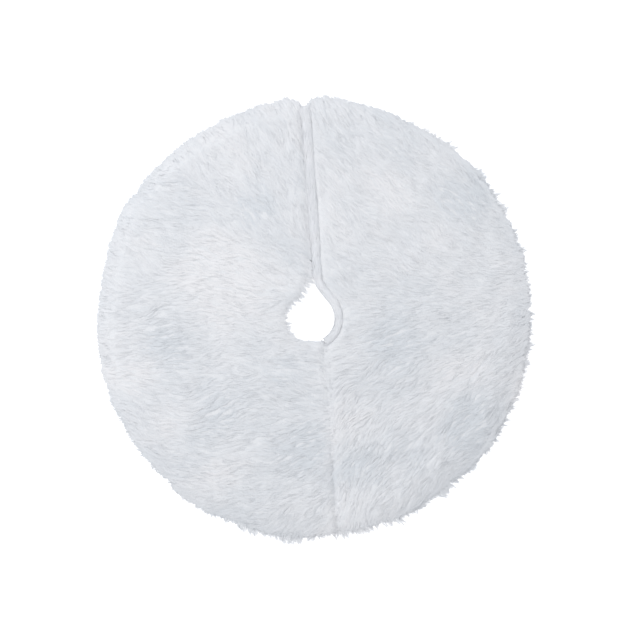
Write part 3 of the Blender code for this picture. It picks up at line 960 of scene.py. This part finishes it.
def grow_half(side, field, seed, material):
    """The locks of one half, in pieces that follow one another round the disc."""
    roots = root_grid(field, LOCK_SPACING, seed)
    inner = len(roots)
    roots = np.vstack([roots, edge_roots(field, seed + 1)])
    short = len(roots)
    roots = np.vstack([roots, tuft_roots(field, seed + 2)])
    rng = np.random.default_rng(seed + 10)
    length = rng.uniform(*LOCK_LENGTH, len(roots))
    length[inner:short] = rng.uniform(*EDGE_LENGTH, short - inner)
    length[short:] = rng.uniform(*TUFT_LENGTH, len(roots) - short)
    outward = np.zeros((len(roots), 1))
    outward[short:] = rng.uniform(0.6, 1.0, (len(roots) - short, 1))
    overhang = overhang_of(roots, side) + rng.uniform(-0.003, 0.003, len(roots))
    reach = rng.uniform(0.001, 0.006, len(roots))
    reach = reach + 0.016 * np.clip(value_noise(roots, 0.013, seed + 6) + 0.35, 0, 1)
    overhang[short:] += (reach * turned_out(np.arctan2(roots[:, 1], roots[:, 0])))[short:]
    line = lock_lines(field, roots, length, seed + 20, overhang, outward)
    stack = 0.96 + 0.015 * value_noise(roots, 0.012, seed + 5) + rng.uniform(-0.018, 0.014, len(roots))
    stack[inner:short] -= 0.03
    stack[short:] *= rng.uniform(0.65, 0.9, len(roots) - short)
    spread = np.where(np.arange(len(roots)) < short, LOCK_SPREAD, TUFT_SPREAD)
    centre, thin, across, normal = strands(field, line, seed + 30, stack, spread)
    shade = np.repeat(shade_of(roots, rng), STRANDS_PER_LOCK)
    up = np.broadcast_to(UP, centre.shape)
    root = np.repeat(roots, STRANDS_PER_LOCK, axis=0)
    around = np.arctan2(root[:, 1], root[:, 0] * (1 if side == "right" else -1))
    made = []
    for place, chosen in (("upper", root[:, 1] >= 0), ("lower", root[:, 1] < 0)):
        order = np.nonzero(chosen)[0]
        order = order[np.argsort(around[order], kind="stable")]
        for i, part in enumerate(np.array_split(order, math.ceil(len(order) / MOST_STRANDS))):
            name = f"{side}_pile_{place}_{i + 1}"
            piece = pile_piece(name, centre[part], thin[part], across[part], up[part], shade[part], material,
                               normal[part])
            crossing = place == "lower" and near_seam(piece)
            made.append(attach(piece, f"{side}_half", crossing=crossing))
    return made


def undercoat(side, field, material, seed):
    """The panel's cloth and short fibres, above and below the hole's centre line."""
    def top(points):
        lumps = 0.0003 * value_noise(points, 0.010, seed) + 0.0002 * value_noise(points, 0.004, seed + 1)
        around = np.arctan2(points[:, 1], points[:, 0])
        rim_depth = rim_radius(around) - np.linalg.norm(points, axis=1)
        least = 0.45 + 0.25 * turned_out(around)
        full = smooth(rim_depth / (0.026 - 0.012 * turned_out(around)))
        share = UNDERCOAT_SHARE * (least + (1 - least) * full)
        height = PILE_BOTTOM + 0.0005 + share * (field.pile_height(points) - PILE_BOTTOM - 0.001)
        return height + lumps * smooth(rim_depth / 0.01)

    bottom = level(PILE_BOTTOM + 0.0001)
    return two_sheets(f"{side}_panel", f"{side}_fur_panel", field.outline, 0.0045, top, bottom, material)


# ---------------------------------------------------------------- the underside

def lining(side, outline, material):
    """Loose lining that sags between the hems, with soft wrinkles."""
    def bottom(points):
        radius = np.linalg.norm(points, axis=1)
        neck = np.linalg.norm(points - (HOLE_X, 0), axis=1)
        free = smooth((HEM_STITCH_RADIUS - radius) / 0.05) * smooth((neck - 0.08) / 0.04)
        free = free * smooth((np.abs(points[:, 0] - 0.005) - 0.055) / 0.03)
        folds = 0.5 + 0.35 * value_noise(points, 0.05, 61) + 0.25 * value_noise(points * (1, 0.4), 0.018, 62)
        return LINING_BOTTOM - 0.0030 * free * np.clip(folds, 0, 1)

    def top(points):
        return bottom(points) + LINING_TOP - LINING_BOTTOM

    return two_sheets(f"{side}_lining", f"{side}_lining", outline, 0.006, top, bottom, material)


def hem_band(node, outline, material):
    top = edge_rounded(HEM_TOP, outline, 0.0008, 0.004)
    bottom = edge_rounded(0.0012, outline, -0.0008, 0.004)
    return two_sheets(node, node, outline, 0.005, top, bottom, material)


def slit_hem(side, material):
    """The strip turned under beside the slit."""
    low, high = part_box(f"{side}_slit_hem")
    outline = filled_in(box_outline(f"{side}_slit_hem"), 0.004)
    top, bottom = edge_rounded(high.z, outline, 0.0003, 0.002), edge_rounded(low.z, outline, -0.0003, 0.002)
    piece = closed_sheet(f"{side}_slit_hem_upper", outline, 0.004, top, bottom, material)
    return [attach(piece, f"{side}_half", node=f"{side}_slit_hem")]


def hem_pile(side, outline, centre_x, node, seed, material):
    """Short pressed pile on the underside of a turned hem, lying away from the fold."""
    rng = np.random.default_rng(seed)
    box = outline.min(0), outline.max(0)
    count = int((box[1] - box[0]).prod() / HEM_PILE_SPACING ** 2)
    roots = rng.uniform(*box, (count, 2))
    roots = roots[signed_distance(roots, outline) > 0.001]
    out = roots - (centre_x, 0)
    angle = np.arctan2(out[:, 1], out[:, 0]) + (math.pi if centre_x == 0 else 0)
    angle = angle + math.radians(25) * value_noise(roots, 0.02, seed + 1) + rng.normal(0, 0.12, len(roots))
    times = np.array([0.0, 0.3, 0.6, 0.85, 1.0])
    bend = math.radians(18) * value_noise(roots, 0.03, seed + 2)
    length = rng.uniform(0.010, 0.017, len(roots))
    step = heading(angle[:, None] + bend[:, None] * times)
    centre = roots[:, None] + step * (length[:, None] * times)[..., None]
    height = 0.0016 - rng.uniform(0.0003, 0.0010, len(roots))[:, None] * np.sin(2.6 * times)
    centre = np.concatenate([centre, height[..., None]], -1)
    side3 = np.concatenate([step[..., 1:], -step[..., :1], np.zeros_like(step[..., :1])], -1)
    thin = 0.0006 * rng.uniform(0.8, 1.2, len(roots))[:, None] * (1 - times ** 3)
    up = np.broadcast_to(-UP, centre.shape)
    shade = shade_of(roots, rng)
    made = []
    for place, chosen in (("upper", roots[:, 1] >= 0), ("lower", roots[:, 1] < 0)):
        piece = pile_piece(f"{node}_pile_{place}", centre[chosen], thin[chosen], side3[chosen], up[chosen],
                           shade[chosen], material)
        made.append(attach(piece, f"{side}_half", crossing=place == "lower"))
    return made


def stitches(name, path, pitch, material, slant=0.0, share=0.8, radius=0.0005, bow=0.0004, up=UP):
    """Bowed stitches one after another along a path of xyz points."""
    far = lengths_along(path)
    at = np.arange(pitch / 2, far[-1], pitch)
    middle = at_length(path, far, at)
    ahead = unit(at_length(path, far, at + 1e-4) - middle)
    aside = np.cross(up, ahead)
    turn = math.radians(slant)
    run = ahead * math.cos(turn) + aside * math.sin(turn)
    u = np.linspace(-1, 1, 6)
    centre = middle[:, None] + run[:, None] * (u * pitch * share / 2)[:, None]
    centre = centre + up * (bow * (1 - u ** 2))[:, None]
    thin = np.tile(radius * np.array([0.5, 0.9, 1.0, 1.0, 0.9, 0.0]), (len(at), 1))
    side = np.repeat(np.cross(up, run)[:, None], len(u), 1)
    verts, quads, tris, _ = threads(centre, thin, side, np.broadcast_to(up, centre.shape), 6)
    return mesh_piece(name, verts, [quads, tris], material)


def split_path(path, sign):
    """The points of an open path above or below y = 0, in their order."""
    return path[sign * path[:, 1] >= 0]


def raised(path, height):
    return np.column_stack([path, np.full(len(path), height)])


def under_stitching(sewing):
    """Slanted hem stitches and the centre seam's stitches on the underside, and the slit's topstitching."""
    ends = ("left", -0.018, SEAM_X - 0.002, 360), ("right", 0.046, SEAM_X + 0.002, 0)
    for side, slit, seam, turn in ends:
        start, end = angle_at_x(slit, HEM_STITCH_RADIUS), turn - angle_at_x(seam, HEM_STITCH_RADIUS)
        path = arc(0, HEM_STITCH_RADIUS, start, end, 0.002)
        for place, sign in HALVES:
            line = raised(split_path(path, sign), UNDER_STITCH_Z)
            piece = stitches(f"{side}_hem_stitches_{place}", line, 0.006, sewing, slant=32, up=-UP)
            attach(piece, f"{side}_half", node=f"{side}_hem_stitching", crossing=sign < 0)
    low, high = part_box("centre_seam_stitching")
    line = np.linspace((SEAM_X, high.y, UNDER_STITCH_Z), (SEAM_X, low.y, UNDER_STITCH_Z), 60)
    piece = stitches("centre_seam_stitches", line, 0.005, sewing, up=-UP)
    attach(piece, "left_half", node="centre_seam_stitching", crossing=True)
    path = roll_path(STITCH_OFFSET, SEAM_X + 0.002, 0.372)
    for place, sign in HALVES:
        line = raised(split_path(path, sign), ROLL_Z + 0.002)
        piece = stitches(f"slit_topstitches_{place}", line, 0.0055, sewing, radius=0.0006)
        attach(piece, "right_half", node="right_slit_stitching", crossing=sign < 0)


# ---------------------------------------------------------------- the rolled edge

def roll_core_radius(y):
    """Thinner towards the hole."""
    return 0.0067 + 0.0011 * smooth((y - 0.10) / 0.08)


def roll_core(material):
    """The rolled strip itself, split at the hole's centre line."""
    path = roll_path(0.0, SEAM_X + 0.002, 0.374)
    made = []
    for place, sign in HALVES:
        part = split_path(path, sign)
        joint = path[np.argmin(np.abs(path[:, 1]))]
        part = np.vstack([part, [joint]]) if sign > 0 else np.vstack([[joint], part])
        far = lengths_along(part)
        at = np.linspace(0, far[-1], max(12, int(far[-1] / 0.003)))
        line = at_length(part, far, at)
        ahead = unit(np.gradient(line, axis=0))
        side = np.column_stack([-ahead[:, 1], ahead[:, 0], np.zeros(len(ahead))])
        thin = roll_core_radius(line[:, 1]) + 0.0004 * value_noise(line, 0.012, 71)
        if sign > 0:
            thin[:4] *= np.sqrt(np.array([0.25, 0.6, 0.85, 0.97]))
        else:
            thin[-4:] *= np.sqrt(np.array([0.97, 0.85, 0.6, 0.2]))
        up = np.broadcast_to(UP, (1, len(line), 3))
        centre = raised(line, ROLL_Z)
        verts, quads, tris, _ = threads(centre[None], thin[None], side[None], up, 20, ROLL_FLATNESS)
        piece = mesh_piece(f"edge_roll_{place}", verts, [quads, tris], material)
        made.append(attach(piece, "right_half", node="right_edge_roll", crossing=sign < 0))
    return made


def roll_pile(material):
    """Short pile lying down along the roll: fluffy by the slit's upper part, sleek towards the hole."""
    rng = np.random.default_rng(81)
    path = roll_path(0.0, SEAM_X + 0.003, 0.378)
    far = lengths_along(path)
    count = ROLL_STRANDS
    start = rng.uniform(0, far[-1] - 0.004, count)
    turn = np.radians(rng.uniform(-35, 215, count))
    times = np.append(RING_TIMES, 1.0)
    spot = at_length(path, far, start)
    fluffy = smooth((spot[:, 1] - 0.11) / 0.07)
    length = np.minimum(rng.uniform(0.010, 0.020, count) * (1 + 0.5 * fluffy), far[-1] - start)
    at = start[:, None] + length[:, None] * times
    middle = at_length(path, far, at)
    ahead = at_length(path, far, at + 0.001) - middle
    short = np.linalg.norm(ahead, axis=-1, keepdims=True)
    ahead = np.where(short < 1e-6, unit(path[-1] - path[-2]), ahead / np.maximum(short, 1e-9))
    outward = np.concatenate([-ahead[..., 1:], ahead[..., :1], np.zeros_like(short)], -1)
    twist = rng.normal(0, 16, count) * (1 + fluffy) + 26 * value_noise(spot, 0.03, 82) * (0.4 + fluffy)
    waver = 0.15 * np.sin(6 * times + 9 * value_noise(spot, 0.02, 83)[:, None])
    round_at = turn[:, None] + np.radians(twist)[:, None] * times + waver
    lift = 0.0003 + rng.uniform(0.0004, 0.0016, count) + 0.0014 * fluffy * rng.uniform(0.1, 1, count)
    radius = roll_core_radius(middle[..., 1]) + lift[:, None] * np.sin(np.pi * (0.08 + 0.72 * times))
    cos, sin = np.cos(round_at)[..., None], np.sin(round_at)[..., None]
    radial = outward * cos + UP * sin
    centre = np.concatenate([middle, np.full_like(short, ROLL_Z)], -1)
    centre = centre + (outward * cos + UP * (ROLL_FLATNESS * sin)) * radius[..., None]
    side = outward * sin - UP * cos
    thin = 0.00055 * rng.uniform(0.8, 1.15, count)[:, None] * (1 - times ** 3)
    # painted light: the roll's strands take values near the light, warm end of the pile's colours
    shade = np.clip(0.74 + 0.22 * value_noise(spot, 0.02, 84) + rng.uniform(-0.1, 0.1, count), 0, 1)
    made = []
    for place, chosen in (("upper", spot[:, 1] >= 0), ("lower", spot[:, 1] < 0)):
        piece = pile_piece(f"edge_roll_pile_{place}", centre[chosen], thin[chosen], side[chosen],
                           radial[chosen], shade[chosen], material, 0.25 * radial[chosen] + UP)
        made.append(attach(piece, "right_half", crossing=place == "lower"))
    return made


# ---------------------------------------------------------------- underlap and tapes

def box_outline(node, inset=0.0):
    low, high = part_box(node)
    return np.array([(low.x + inset, low.y + inset), (high.x - inset, low.y + inset),
                     (high.x - inset, high.y - inset), (low.x + inset, high.y - inset)])


def underlap(material, stitch_material):
    """The strip behind the slit, whose lower end is a small tongue that closes the hole's tip."""
    low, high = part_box("underlap_strip")
    tongue = quadratic((-0.0105, low.y), (-0.0045, low.y - 0.022), (0.0046, low.y), 9)
    outline = np.vstack([(low.x, low.y), tongue, (high.x, low.y), (high.x, high.y), (low.x, high.y)])
    outline = filled_in(outline, 0.004)
    piece = closed_sheet("underlap_cloth", outline, 0.004, edge_rounded(high.z, outline, 0.0003, 0.0015),
                         edge_rounded(low.z, outline, -0.0003, 0.0015), material)
    attach(piece, "underlap", node="underlap_strip")
    x = high.x - 0.004
    edge = np.array([(x, low.y + 0.004, high.z), (x, high.y - 0.004, high.z)])
    seam = stitches("underlap_edge_stitching", edge, 0.004, stitch_material, radius=0.0003, bow=0.0001)
    attach(seam, "underlap")


def tape(node, body, slot, facing, base_material, fuzz_material, seed):
    """A hook or loop tape: a thin flat base, and its hooks or loops on one side."""
    low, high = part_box(node)
    outline = filled_in(box_outline(node), 0.002)
    thick = (high.z - low.z) * 0.4
    base = (low.z, low.z + thick) if facing > 0 else (high.z - thick, high.z)
    piece = closed_sheet(f"{node}_base", outline, 0.004, level(base[1]), level(base[0]), base_material)
    attach(piece, body, node=node)
    rng = np.random.default_rng(seed)
    xs = np.arange(low.x + 0.001, high.x - 0.0008, 0.00125)
    ys = np.arange(low.y + 0.001, high.y - 0.0008, 0.00125)
    roots = np.stack(np.meshgrid(xs, ys, indexing="ij"), -1).reshape(-1, 2)
    roots = roots + rng.uniform(-0.0003, 0.0003, roots.shape)
    turn = rng.uniform(0, 2 * math.pi, len(roots)) if slot == "loop_tape" else np.zeros(len(roots))
    times = np.array([0.0, 0.3, 0.6, 0.85, 1.0])
    reach = 0.0011 if slot == "loop_tape" else 0.0006
    run = heading(turn)[:, None] * (reach * times ** 1.5)[:, None]
    height = (high.z - low.z - thick) * np.sin(2.5 * times) * 0.9
    height = facing * height + (base[1] if facing > 0 else base[0])
    centre = np.concatenate([roots[:, None] + run, np.tile(height, (len(roots), 1))[..., None]], -1)
    forward = np.repeat(raised(heading(turn), 0.0)[:, None], len(times), 1)
    side = np.repeat(raised(heading(turn + math.pi / 2), 0.0)[:, None], len(times), 1)
    thin = np.tile(0.00022 * (1 - 0.5 * times), (len(roots), 1))
    verts, quads, tris, _ = threads(centre, thin, side, -facing * forward, 4)
    fuzz = "loops" if slot == "loop_tape" else "hooks"
    attach(mesh_piece(f"{node}_{fuzz}", verts, [quads, tris], fuzz_material), body)


# ---------------------------------------------------------------- everything

def build():
    pile = pile_material("plush_pile")
    # painted light: the roll's pile gets a lighter, bluer copy of the pile's colours, standing in for the
    # light that the raised roll catches
    roll_fur_painted_light = pile_material("roll_pile", (0.925, 0.945, 0.970), (0.96, 0.975, 0.995))
    # painted shade: the pile under the hems gets a darker copy of the pile's colours, for the underside that
    # faces the floor
    pressed = pile_material("pressed_pile", (0.70, 0.72, 0.75), (0.86, 0.87, 0.89))
    # painted shade: the undercoat's colours are darker than the pile's, so that the gaps between the locks
    # look shaded
    coat_painted_shade = undercoat_material("plush_undercoat", (0.79, 0.805, 0.835), (0.86, 0.87, 0.89))
    # painted light: the roll's core gets a lighter copy of the undercoat's colours
    roll_coat_painted_light = undercoat_material("roll_undercoat_painted_light", (0.90, 0.905, 0.92), (0.95, 0.95, 0.955))
    satin = woven_material("lining_cloth", (0.72, 0.73, 0.76), (0.86, 0.865, 0.88), 0.0009, 0.42, 0.15)
    backing = woven_material("hem_cloth", (0.66, 0.67, 0.70), (0.84, 0.845, 0.86), 0.0014, 0.9)
    strip = woven_material("underlap_cloth", (0.74, 0.76, 0.79), (0.88, 0.89, 0.91), 0.0011, 0.85)
    sewing = thread_material()
    for side, outline, comb, seed in (("left", left_fur_outline(), LEFT_COMB, 100),
                                      ("right", right_fur_outline(), RIGHT_COMB, 200)):
        field = Field(outline, comb)
        fur = grow_half(side, field, seed, pile)
        panels = undercoat(side, field, coat_painted_shade, seed + 7)
        lining_cut = left_lining_outline() if side == "left" else right_lining_outline()
        declare(lining(side, lining_cut, satin), lining_cut)
        rim, neck = rim_hem_outline(side), neck_hem_outline(side)
        hems = hem_band(f"{side}_rim_hem", rim, backing) + hem_band(f"{side}_neck_hem", neck, backing)
        hems += hem_pile(side, rim, 0.0, f"{side}_rim_hem", seed + 60, pressed)
        hems += hem_pile(side, neck, HOLE_X, f"{side}_neck_hem", seed + 70, pressed)
        hems += slit_hem(side, backing)
        if side == "right":
            hems += roll_core(roll_coat_painted_light) + roll_pile(roll_fur_painted_light)
        declare(panels, field.outline, fur + hems)
    under_stitching(sewing)
    underlap(strip, sewing)
    loop_base = tape_material("loop_tape_base", (0.60, 0.61, 0.63), (0.74, 0.75, 0.77), 0.9)
    loop_fuzz = tape_material("loop_tape_loops", (0.66, 0.67, 0.69), (0.82, 0.83, 0.84), 0.8)
    hook_base = tape_material("hook_tape_base", (0.62, 0.63, 0.65), (0.76, 0.77, 0.79), 0.6)
    hook_fuzz = tape_material("hook_tape_hooks", (0.70, 0.71, 0.73), (0.84, 0.85, 0.87), 0.35)
    for i, place in enumerate(("top", "middle", "bottom")):
        tape(f"loop_tape_{place}", "underlap", "loop_tape", 1, loop_base, loop_fuzz, 90 + i)
        tape(f"hook_tape_{place}", "right_half", "hook_tape", -1, hook_base, hook_fuzz, 95 + i)


bpy.context.scene.view_settings.view_transform = "Standard"
bpy.context.scene.view_settings.look = "None"
make_camera()
make_stage()
make_lights()
build()
